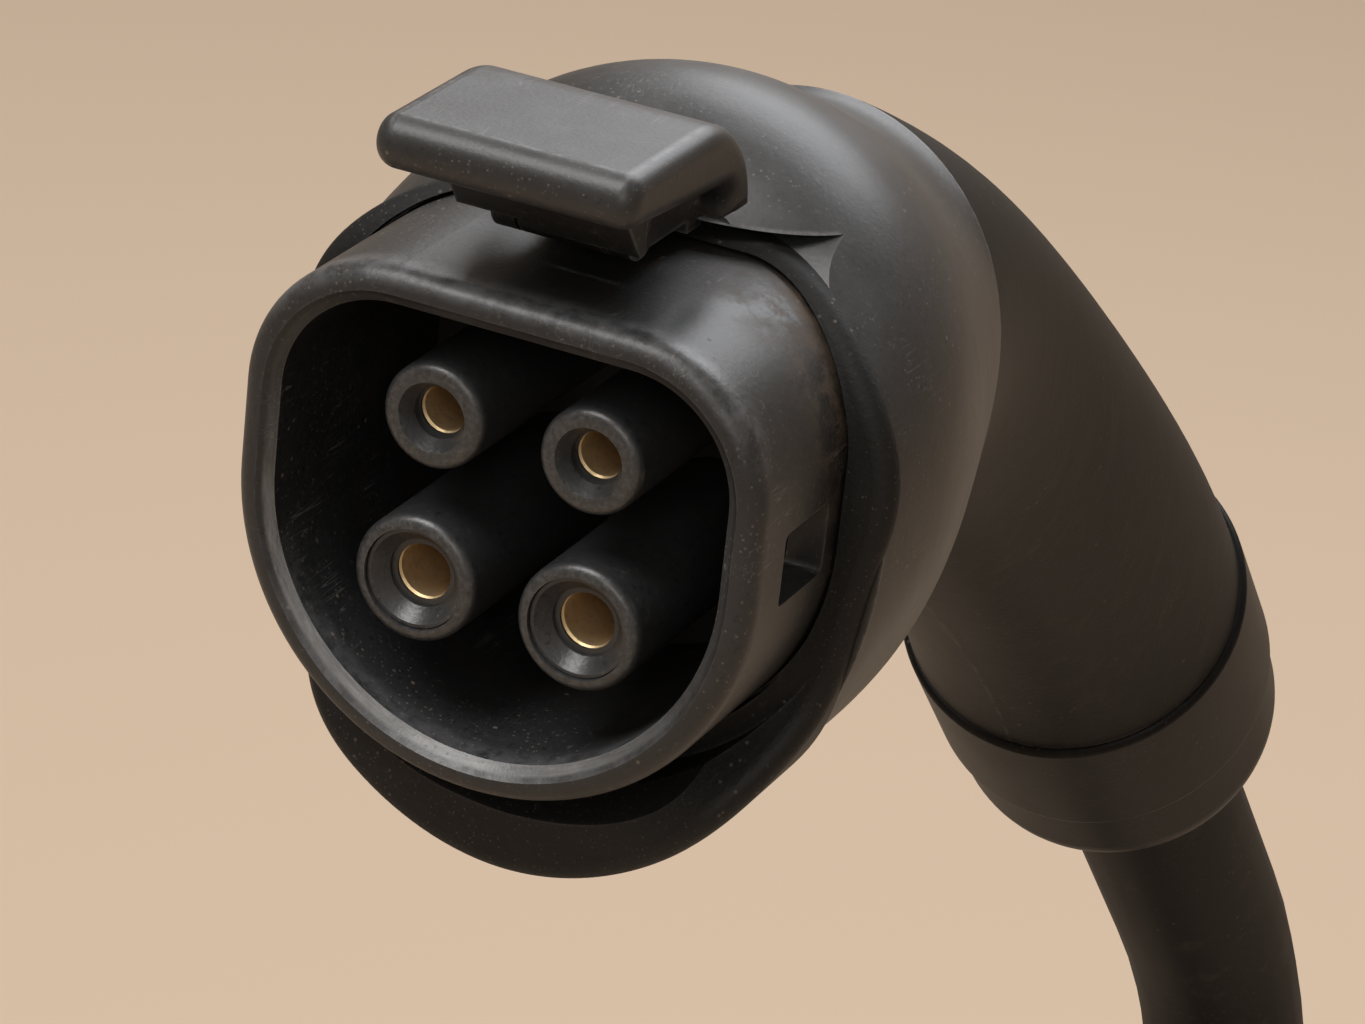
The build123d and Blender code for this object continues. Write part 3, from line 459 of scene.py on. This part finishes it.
def brown_reflection_and_streaks(finish, settings, strength):
    """Painted brownish reflection on the sides, in patches broken up into upright streaks where rain ran
    down.
    """
    sides = 1.0 - finish.facing_z.rising(0.2, 0.85)
    brown_reflection = finish.patches(0.02, 0.28, 0.66, 4.0, 0.6)
    streaked = finish.shader.stretched(finish.place, (0, 0, 0), (1.0, 1.0, 0.12))
    streaks = finish.shader.noise(streaked, 0.0022, 3.0, 0.6).rising(0.45, 0.72)
    # Painted brownish reflection on the sides, with upright streaks
    finish.layer(sides * brown_reflection * (0.55 + 0.45 * streaks) * strength, settings.grime_and_reflection, 0.55)
    finish.layer(sides * streaks * brown_reflection * strength * 0.12, settings.wear_and_highlight, 0.5)


def head_plastic(settings):
    """Satin plastic of the head, with painted cool sheen and scuffs on top, and painted brownish reflection
    and streaks at its sides.
    """
    finish = Finish("head plastic", shaded(settings.plastic, 1.1), 0.42)
    finish.mottle(0.03, 0.2)
    finish.speckle(0.65)
    finish.grain(0.0006, 0.022)
    # Painted brownish reflection on the sides, with upright streaks
    brown_reflection_and_streaks(finish, settings, 0.8)
    clouds = finish.patches(0.012, 0.40, 0.66, 5.0, 0.6)
    # Painted sheen: upward-facing surfaces made lighter and cooler
    finish.layer(finish.facing_z.rising(0.3, 0.9) * clouds * 0.22, settings.painted_sheen, 0.5)
    finish.edge(0.0007, settings.wear_and_highlight, 0.6)
    finish.dust(0.0019, 0.47, settings.dust, 0.85)
    finish.scratches(0.0012, (0.2, 0.6, 0.2), settings.wear_and_highlight, 0.35)
    return finish.done(specular_ior_level=0.5)


def latch_plastic(settings):
    """Satin plastic of the latch with painted sheen on top and worn edges."""
    finish = Finish("latch plastic", shaded(settings.plastic, 1.05), 0.42)
    finish.mottle(0.015, 0.18)
    finish.speckle(0.65)
    finish.grain(0.0005, 0.022)
    clouds = finish.patches(0.007, 0.38, 0.66, 5.0, 0.6)
    # Painted sheen: the upward-facing top made lighter and cooler
    finish.layer(finish.facing_z.rising(0.5, 0.95) * clouds * 0.25, settings.painted_sheen, 0.5)
    from_middle = abs(finish.x)
    sides = from_middle.near(LATCH_WEAR_X, 0.45) * finish.y.falling(LATCH_WEAR_BACK, LATCH_WEAR_BACK + 3.0)
    front = finish.y.near(LATCH_WEAR_FRONT, 0.4) * from_middle.falling(LATCH_WEAR_X, LATCH_WEAR_X + 0.5)
    broken = finish.patches(0.003, 0.32, 0.6, 4.0, 0.7)
    line = finish.shader.math("MAXIMUM", sides, front) * finish.facing_z.rising(0.6, 0.9) * broken
    finish.layer(line * 0.55, settings.wear_and_highlight, 0.5)
    finish.edge(0.0006, settings.wear_and_highlight, 0.7)
    finish.dust(0.0017, 0.50, settings.dust, 0.7)
    finish.scratches(0.0012, (0.0, 0.0, 1.2), settings.wear_and_highlight, 0.4)
    return finish.done(specular_ior_level=0.5)


def grip_plastic(settings):
    """Finely grained plastic of the grip, darkened as painted shade, with painted brownish reflection on
    its sides.
    """
    # Painted shade: the grip's plastic darkened to 0.35 of its colour
    finish = Finish("grip plastic", shaded(settings.plastic, 0.35), 0.5)
    finish.mottle(0.03, 0.25)
    finish.speckle(0.12)
    finish.grain(0.0006, 0.03)
    # Painted brownish reflection on the sides, with upright streaks
    brown_reflection_and_streaks(finish, settings, 0.35)
    finish.edge(0.0006, settings.wear_and_highlight, 0.3)
    finish.dust(0.0022, 0.52, settings.dust, 0.35)
    return finish.done(specular_ior_level=0.1)


def ring_plastic(settings):
    """Smoother plastic of the end ring and the cap, darkened as painted shade, with a painted highlight
    along its edges.
    """
    # Painted shade: the ring's plastic darkened to 0.28 of its colour
    finish = Finish("ring plastic", shaded(settings.plastic, 0.28), 0.42)
    finish.mottle(0.02, 0.25)
    finish.speckle(0.1)
    finish.grain(0.0005, 0.02)
    # Painted brownish reflection on the sides, with upright streaks
    brown_reflection_and_streaks(finish, settings, 0.25)
    # Painted highlight: a lighter line along the edges stands for the light bands on the ring
    finish.edge(0.0008, settings.wear_and_highlight, 0.35)
    finish.dust(0.002, 0.52, settings.dust, 0.35)
    return finish.done(specular_ior_level=0.1)


def inner_plastic(settings):
    """Plain natural plastic of the pieces inside."""
    finish = Finish("inner plastic", shaded(settings.plastic, 1.6), 0.55)
    finish.mottle(0.01, 0.1)
    finish.grain(0.0004, 0.01)
    return finish.done()


def zinc_steel(settings):
    """Bright zinc-plated steel of the screws, the pin and the spring."""
    finish = Finish("zinc steel", list(settings.steel), 0.32)
    finish.mottle(0.003, 0.1)
    finish.grain(0.0002, 0.004)
    return finish.done(metallic=1.0)


def cable_rubber(settings):
    """Dull black jacket of the cable, with faint drawn lines and scuffs."""
    finish = Finish("cable rubber", shaded(settings.plastic, 0.22), 0.55)
    finish.mottle(0.02, 0.18)
    finish.grain(0.0004, 0.02)
    scuffed = finish.patches(0.012, 0.52, 0.72, 5.0, 0.7)
    finish.layer(scuffed * 0.12, settings.dust, 0.7)
    finish.dust(0.0022, 0.52, settings.dust, 0.3)
    return finish.done(specular_ior_level=0.08)


def seal_rubber(settings):
    """Dark soft rubber of the seals."""
    finish = Finish("seal rubber", shaded(settings.plastic, 0.5), 0.7)
    finish.mottle(0.006, 0.15)
    finish.grain(0.0004, 0.015)
    return finish.done(specular_ior_level=0.4)


def core_insulation(name, colour):
    """Smooth coloured insulation of a core."""
    finish = Finish(name, list(colour), 0.4)
    finish.mottle(0.006, 0.08)
    finish.grain(0.0006, 0.01)
    return finish.done()


def strap_fabric(settings):
    """Woven hook-and-loop strap."""
    finish = Finish("strap fabric", shaded(settings.plastic, 0.6), 0.85)
    finish.mottle(0.008, 0.2)
    finish.layer(finish.specks(0.0011, 0.15, 0.5), shaded(settings.plastic, 1.5), 0.9, 0.08)
    return finish.done(sheen_weight=0.3)


def dress(material, *nodes):
    """Gives each named CAD node the material."""
    for name in nodes:
        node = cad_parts[name]
        node.data.materials.clear()
        node.data.materials.append(material)


# Cable


def along_cable(distance):
    """Point on the cable's axis, at a distance beyond the start of the end ring."""
    back = Vector((0.0, math.cos(CABLE_SLOPE), -math.sin(CABLE_SLOPE)))
    return Vector(CABLE_START) + back * distance


def tail_route():
    """Corners of the cable's route from the cap down to the coil."""
    corner = CAP_END + STRAIGHT_LENGTH
    straight = (CABLE_BEGIN, CABLE_OUT, corner - TAIL_RUN, corner)
    points = [along_cable(distance) for distance in straight]
    slope = CABLE_SLOPE
    for step in range(TAIL_TURNS):
        slope += (math.pi - CABLE_SLOPE) / TAIL_TURNS
        points.append(points[-1] + Vector((0.0, math.cos(slope), -math.sin(slope))) * TAIL_RUN)
    return points


def around(middle, radius, angle, height):
    """Point beside the coil's axis, at an angle in degrees."""
    turn = math.radians(angle)
    return middle + Vector((radius * math.cos(turn), radius * math.sin(turn), height))


def coil_route(diameter, middle, level):
    """Corners of the four turns: out, in, up and out again, up to where the end climbs."""
    outer = (COIL_RADIUS + diameter / 2) * CORNER_REACH
    inner = (COIL_RADIUS - diameter / 2) * CORNER_REACH
    lanes = [(outer, 0.0), (inner, 0.0), (inner, 1.0), (outer, 1.0)]
    per_turn = round(360 / COIL_STEP)
    points = []
    for turn, (radius, layer) in enumerate(lanes):
        ahead = lanes[min(turn + 1, len(lanes) - 1)]
        first = 1 if turn == 0 else 0
        last = per_turn if turn < len(lanes) - 1 else per_turn - round(END_START / COIL_STEP)
        for count in range(first, last):
            change = max(0.0, (count - (per_turn - CHANGE_RUNS)) / CHANGE_RUNS)
            change = change * change * (3 - 2 * change)
            here = radius + (ahead[0] - radius) * change
            lift = layer + (ahead[1] - layer) * change
            points.append(around(middle, here, -COIL_STEP * count, level + lift * diameter))
    return points


def end_route(diameter, middle, level):
    """Corners of the last stretch, which climbs out of the outer turn and lies on top of the coil."""
    points = []
    for step in range(END_RUNS + 1):
        climb = min(1.0, step / CLIMB_RUNS)
        rise = 1 + (1 - math.cos(math.pi * climb)) / 2
        angle = END_START - COIL_STEP * step
        points.append(around(middle, COIL_RADIUS + diameter / 2, angle, level + rise * diameter))
    return points


def smooth_curve(name, points, diameter):
    """Round bar along one smooth spline with the points as its control points."""
    data = bpy.data.curves.new(name, "CURVE")
    data.dimensions = "3D"
    data.resolution_u = 8
    data.bevel_depth = diameter / 2
    data.bevel_resolution = 7
    data.use_fill_caps = True
    spline = data.splines.new("NURBS")
    spline.points.add(len(points) - 1)
    for point, place in zip(spline.points, points):
        point.co = (place[0], place[1], place[2], 1.0)
    spline.order_u = 3
    spline.use_endpoint_u = True
    piece = bpy.data.objects.new(name, data)
    bpy.context.scene.collection.objects.link(piece)
    return piece


# Properties


class ChargingPlugSettings(bpy.types.PropertyGroup):
    """Colours and sizes that a user may change."""

    plastic: bpy.props.FloatVectorProperty(
        name="Plastic", description="Colour of the moulded plastic", subtype="COLOR",
        size=3, min=0.0, max=1.0, default=(0.0185, 0.0192, 0.0203))
    # Scuffs and worn edges, and the painted highlight on the edges of the end ring and the cap
    wear_and_highlight: bpy.props.FloatVectorProperty(
        name="Worn plastic", description="Colour of scuffed plastic", subtype="COLOR",
        size=3, min=0.0, max=1.0, default=(0.17, 0.17, 0.17))
    dust: bpy.props.FloatVectorProperty(
        name="Dust", description="Colour of dust specks", subtype="COLOR",
        size=3, min=0.0, max=1.0, default=(0.16, 0.14, 0.115))
    # Grime, and the painted brownish reflection on the sides of the head, the grip, the ring and the cap
    grime_and_reflection: bpy.props.FloatVectorProperty(
        name="Grime", description="Colour of dry brownish grime", subtype="COLOR",
        size=3, min=0.0, max=1.0, default=(0.024, 0.016, 0.0105))
    stain: bpy.props.FloatVectorProperty(
        name="Stain", description="Colour of the rusty stain by the collar", subtype="COLOR",
        size=3, min=0.0, max=1.0, default=(0.085, 0.058, 0.038))
    # Painted sheen on upward-facing tops and on the shroud's lip, in place of highlights
    painted_sheen: bpy.props.FloatVectorProperty(
        name="Haze", description="Colour of plastic that the sun has bleached", subtype="COLOR",
        size=3, min=0.0, max=1.0, default=(0.10, 0.103, 0.108))
    brass: bpy.props.FloatVectorProperty(
        name="Brass", description="Colour of the contacts", subtype="COLOR",
        size=3, min=0.0, max=1.0, default=(0.80, 0.62, 0.36))
    steel: bpy.props.FloatVectorProperty(
        name="Steel", description="Colour of the screws", subtype="COLOR",
        size=3, min=0.0, max=1.0, default=(0.55, 0.55, 0.54))
    cable_diameter: bpy.props.FloatProperty(
        name="Cable diameter", description="Outside diameter of the cable", unit="LENGTH",
        subtype="DISTANCE", min=0.005, max=0.04, default=0.025)
    cable_length: bpy.props.FloatProperty(
        name="Cable length", description="Length from the cap to the stripped end", unit="LENGTH",
        subtype="DISTANCE", min=1.0, max=10.0, default=4.2)
    floor: bpy.props.FloatVectorProperty(
        name="Floor", description="Colour of the floor", subtype="COLOR",
        size=3, min=0.0, max=1.0, default=(0.66, 0.505, 0.37))


# Operators


class CHARGINGPLUG_OT_cable(bpy.types.Operator):
    """Lay the cable: straight out of the cap, down, and put away in a tied coil"""

    bl_idname = "charging_plug.cable"
    bl_label = "Cable"

    def execute(self, context):
        settings = context.scene.charging_plug
        diameter = settings.cable_diameter
        tail = tail_route()
        meet = tail[-1]
        middle = Vector((meet.x - COIL_RADIUS - diameter / 2, meet.y, 0.0))
        points = tail + coil_route(diameter, middle, meet.z) + end_route(diameter, middle, meet.z)
        cable = smooth_curve("cable", points, diameter)
        cable.data.materials.append(cable_rubber(settings))
        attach(cable, "plug")
        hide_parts("cable_tail", "cable_coil", "cable_end")
        return {"FINISHED"}


class CHARGINGPLUG_OT_far_end(bpy.types.Operator):
    """Finish the stripped cores, their ferrules and the straps of the coil"""

    bl_idname = "charging_plug.far_end"
    bl_label = "Far end of the cable"

    def execute(self, context):
        settings = context.scene.charging_plug
        dress(core_insulation("core insulation", END_CORE_COLOUR), "end_cores")
        dress(zinc_steel(settings), "end_ferrules")
        dress(strap_fabric(settings), "coil_ties")
        return {"FINISHED"}


class CHARGINGPLUG_OT_nozzle(bpy.types.Operator):
    """Finish the shroud, the sleeves, the brass contacts and the plates that hold them"""

    bl_idname = "charging_plug.nozzle"
    bl_label = "Nozzle and contacts"

    def execute(self, context):
        settings = context.scene.charging_plug
        dress(shroud_plastic(settings), "nozzle_shroud")
        dress(cavity_plastic(settings), "contact_carrier")
        sleeves = [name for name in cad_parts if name.startswith(("sleeve_", "guard_ring_"))]
        dress(sleeve_plastic(settings), *sleeves)
        contacts = [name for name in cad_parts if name.startswith(("contact_upper", "contact_lower"))]
        dress(brass(settings), *contacts)
        dress(inner_plastic(settings), "contact_retainer")
        return {"FINISHED"}


class CHARGINGPLUG_OT_head(bpy.types.Operator):
    """Finish the head, its collar and its seal"""

    bl_idname = "charging_plug.head"
    bl_label = "Head and collar"

    def execute(self, context):
        settings = context.scene.charging_plug
        dress(collar_rubber(settings), "front_collar")
        dress(head_plastic(settings), "head_housing")
        dress(seal_rubber(settings), "shroud_seal")
        return {"FINISHED"}


class CHARGINGPLUG_OT_latch(bpy.types.Operator):
    """Finish the latch, its pin and its spring"""

    bl_idname = "charging_plug.latch"
    bl_label = "Latch"

    def execute(self, context):
        settings = context.scene.charging_plug
        dress(latch_plastic(settings), "latch_lever")
        dress(zinc_steel(settings), "latch_pin", "latch_spring")
        return {"FINISHED"}


class CHARGINGPLUG_OT_grip(bpy.types.Operator):
    """Finish the grip shells, the end ring, the cap, the clamp, the seal and the screws"""

    bl_idname = "charging_plug.grip"
    bl_label = "Grip"

    def execute(self, context):
        settings = context.scene.charging_plug
        dress(grip_plastic(settings), "grip_left", "grip_right")
        dress(ring_plastic(settings), "end_ring", "end_cap")
        dress(zinc_steel(settings), "grip_screws", "head_screws", "core_screws", "clamp_screws")
        dress(inner_plastic(settings), "clamp_upper", "clamp_lower")
        dress(seal_rubber(settings), "cable_seal")
        return {"FINISHED"}


class CHARGINGPLUG_OT_cores(bpy.types.Operator):
    """Finish the insulated cores inside the grip"""

    bl_idname = "charging_plug.cores"
    bl_label = "Cores"

    def execute(self, context):
        for node, colour in CORE_COLOURS.items():
            dress(core_insulation(node.replace("_", " "), colour), node)
        return {"FINISHED"}


class CHARGINGPLUG_OT_stage(bpy.types.Operator):
    """Set the floor, the soft light and the camera"""

    bl_idname = "charging_plug.stage"
    bl_label = "Stage"

    def execute(self, context):
        settings = context.scene.charging_plug
        add_floor(settings)
        add_world()
        for name, lamp in LAMPS.items():
            add_lamp(name, *lamp)
        add_camera(context.scene)
        context.scene.view_settings.view_transform = "Standard"
        return {"FINISHED"}


# Stage


def add_floor(settings):
    """Wide flat floor just under the coil."""
    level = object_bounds()[0][2] - FLOOR_GAP
    data = bpy.data.meshes.new("floor")
    half = FLOOR_HALF_WIDTH
    corners = [(-half, -half, level), (half, -half, level), (half, half, level), (-half, half, level)]
    data.from_pydata(corners, [], [(0, 1, 2, 3)])
    floor = bpy.data.objects.new("floor", data)
    bpy.context.scene.collection.objects.link(floor)
    data.materials.append(floor_paint(settings.floor))
    floor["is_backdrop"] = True


def seen_directly(shader):
    """1 for the rays of the camera, of mirrors and of glass, and 0 for the light on the object."""
    path = shader.add("ShaderNodeLightPath")
    return (path["Is Camera Ray"] + path["Is Glossy Ray"] + path["Is Transmission Ray"]).clamped()


def floor_paint(colour):
    """Matt floor that stays pale far from the lamps and still takes the shadow of the object."""
    finish = Finish("floor", list(colour), 0.9)
    shader = finish.shader
    even = shader.add("ShaderNodeEmission", None, {"Color": rgba(colour), "Strength": 1.0})["Emission"]
    inputs = {0: seen_directly(shader) * FLOOR_EVENNESS, 1: finish.surface(), 2: even}
    mixed = shader.add("ShaderNodeMixShader", None, inputs)["Shader"]
    shader.add("ShaderNodeOutputMaterial", None, {"Surface": mixed})
    return shader.owner


def add_world():
    """Dim warm air that lights the object, and a paler one behind it."""
    world = bpy.data.worlds.new("studio")
    bpy.context.scene.world = world
    shader = Shader(world)
    around = shader.add("ShaderNodeBackground", None, {"Color": rgba(AIR_COLOUR), "Strength": AIR_STRENGTH})
    behind = shader.add("ShaderNodeBackground", None, {"Color": rgba(BACKDROP_COLOUR), "Strength": 1.0})
    inputs = {0: seen_directly(shader), 1: around["Background"], 2: behind["Background"]}
    mixed = shader.add("ShaderNodeMixShader", None, inputs)["Shader"]
    shader.add("ShaderNodeOutputWorld", None, {"Surface": mixed})


def add_lamp(name, place, target, size, power, colour):
    """Square soft lamp, size metres wide, that points at the target."""
    data = bpy.data.lights.new(name, "AREA")
    data.shape = "SQUARE"
    data.size = size
    data.energy = power
    data.color = colour
    lamp = bpy.data.objects.new(name, data)
    bpy.context.scene.collection.objects.link(lamp)
    lamp.location = place
    lamp.rotation_euler = (Vector(target) - Vector(place)).to_track_quat("-Z", "Y").to_euler()


def add_camera(scene):
    """Camera at the photograph's place, turned and rolled as it was."""
    azimuth = math.radians(CAMERA_AZIMUTH)
    elevation = math.radians(CAMERA_ELEVATION)
    roll = math.radians(CAMERA_ROLL)
    forward = Vector((-math.sin(azimuth) * math.cos(elevation),
                      math.cos(azimuth) * math.cos(elevation),
                      -math.sin(elevation)))
    level = Vector((math.cos(azimuth), math.sin(azimuth), 0.0))
    above = level.cross(forward)
    right = level * math.cos(roll) + above * math.sin(roll)
    up = above * math.cos(roll) - level * math.sin(roll)
    data = bpy.data.cameras.new("camera")
    data.sensor_width = CAMERA_SENSOR
    data.lens = CAMERA_LENS
    camera = bpy.data.objects.new("camera", data)
    scene.collection.objects.link(camera)
    turn = Matrix((right, up, -forward)).transposed().to_4x4()
    camera.matrix_world = Matrix.Translation(CAMERA_PLACE) @ turn
    scene.camera = camera


# Panel and registration


class CHARGINGPLUG_PT_panel(bpy.types.Panel):
    """Sidebar panel of the charging plug"""

    bl_idname = "CHARGINGPLUG_PT_panel"
    bl_label = "Charging plug"
    bl_space_type = "VIEW_3D"
    bl_region_type = "UI"
    bl_category = "Charging plug"

    def draw(self, context):
        settings = context.scene.charging_plug
        for name in settings.__annotations__:
            self.layout.prop(settings, name)
        for operator in OPERATORS:
            self.layout.operator(operator.bl_idname)


OPERATORS = (
    CHARGINGPLUG_OT_stage,
    CHARGINGPLUG_OT_cable,
    CHARGINGPLUG_OT_far_end,
    CHARGINGPLUG_OT_nozzle,
    CHARGINGPLUG_OT_head,
    CHARGINGPLUG_OT_latch,
    CHARGINGPLUG_OT_grip,
    CHARGINGPLUG_OT_cores,
)
CLASSES = (ChargingPlugSettings,) + OPERATORS + (CHARGINGPLUG_PT_panel,)


def register():
    """Adds the classes and the settings to Blender."""
    for each in CLASSES:
        bpy.utils.register_class(each)
    bpy.types.Scene.charging_plug = bpy.props.PointerProperty(type=ChargingPlugSettings)


def unregister():
    """Takes them out again."""
    del bpy.types.Scene.charging_plug
    for each in reversed(CLASSES):
        bpy.utils.unregister_class(each)


def main():
    """Builds everything in order."""
    register()
    bpy.ops.charging_plug.stage()
    bpy.ops.charging_plug.cable()
    bpy.ops.charging_plug.far_end()
    bpy.ops.charging_plug.nozzle()
    bpy.ops.charging_plug.head()
    bpy.ops.charging_plug.latch()
    bpy.ops.charging_plug.grip()
    bpy.ops.charging_plug.cores()


if __name__ == "__main__":
    main()
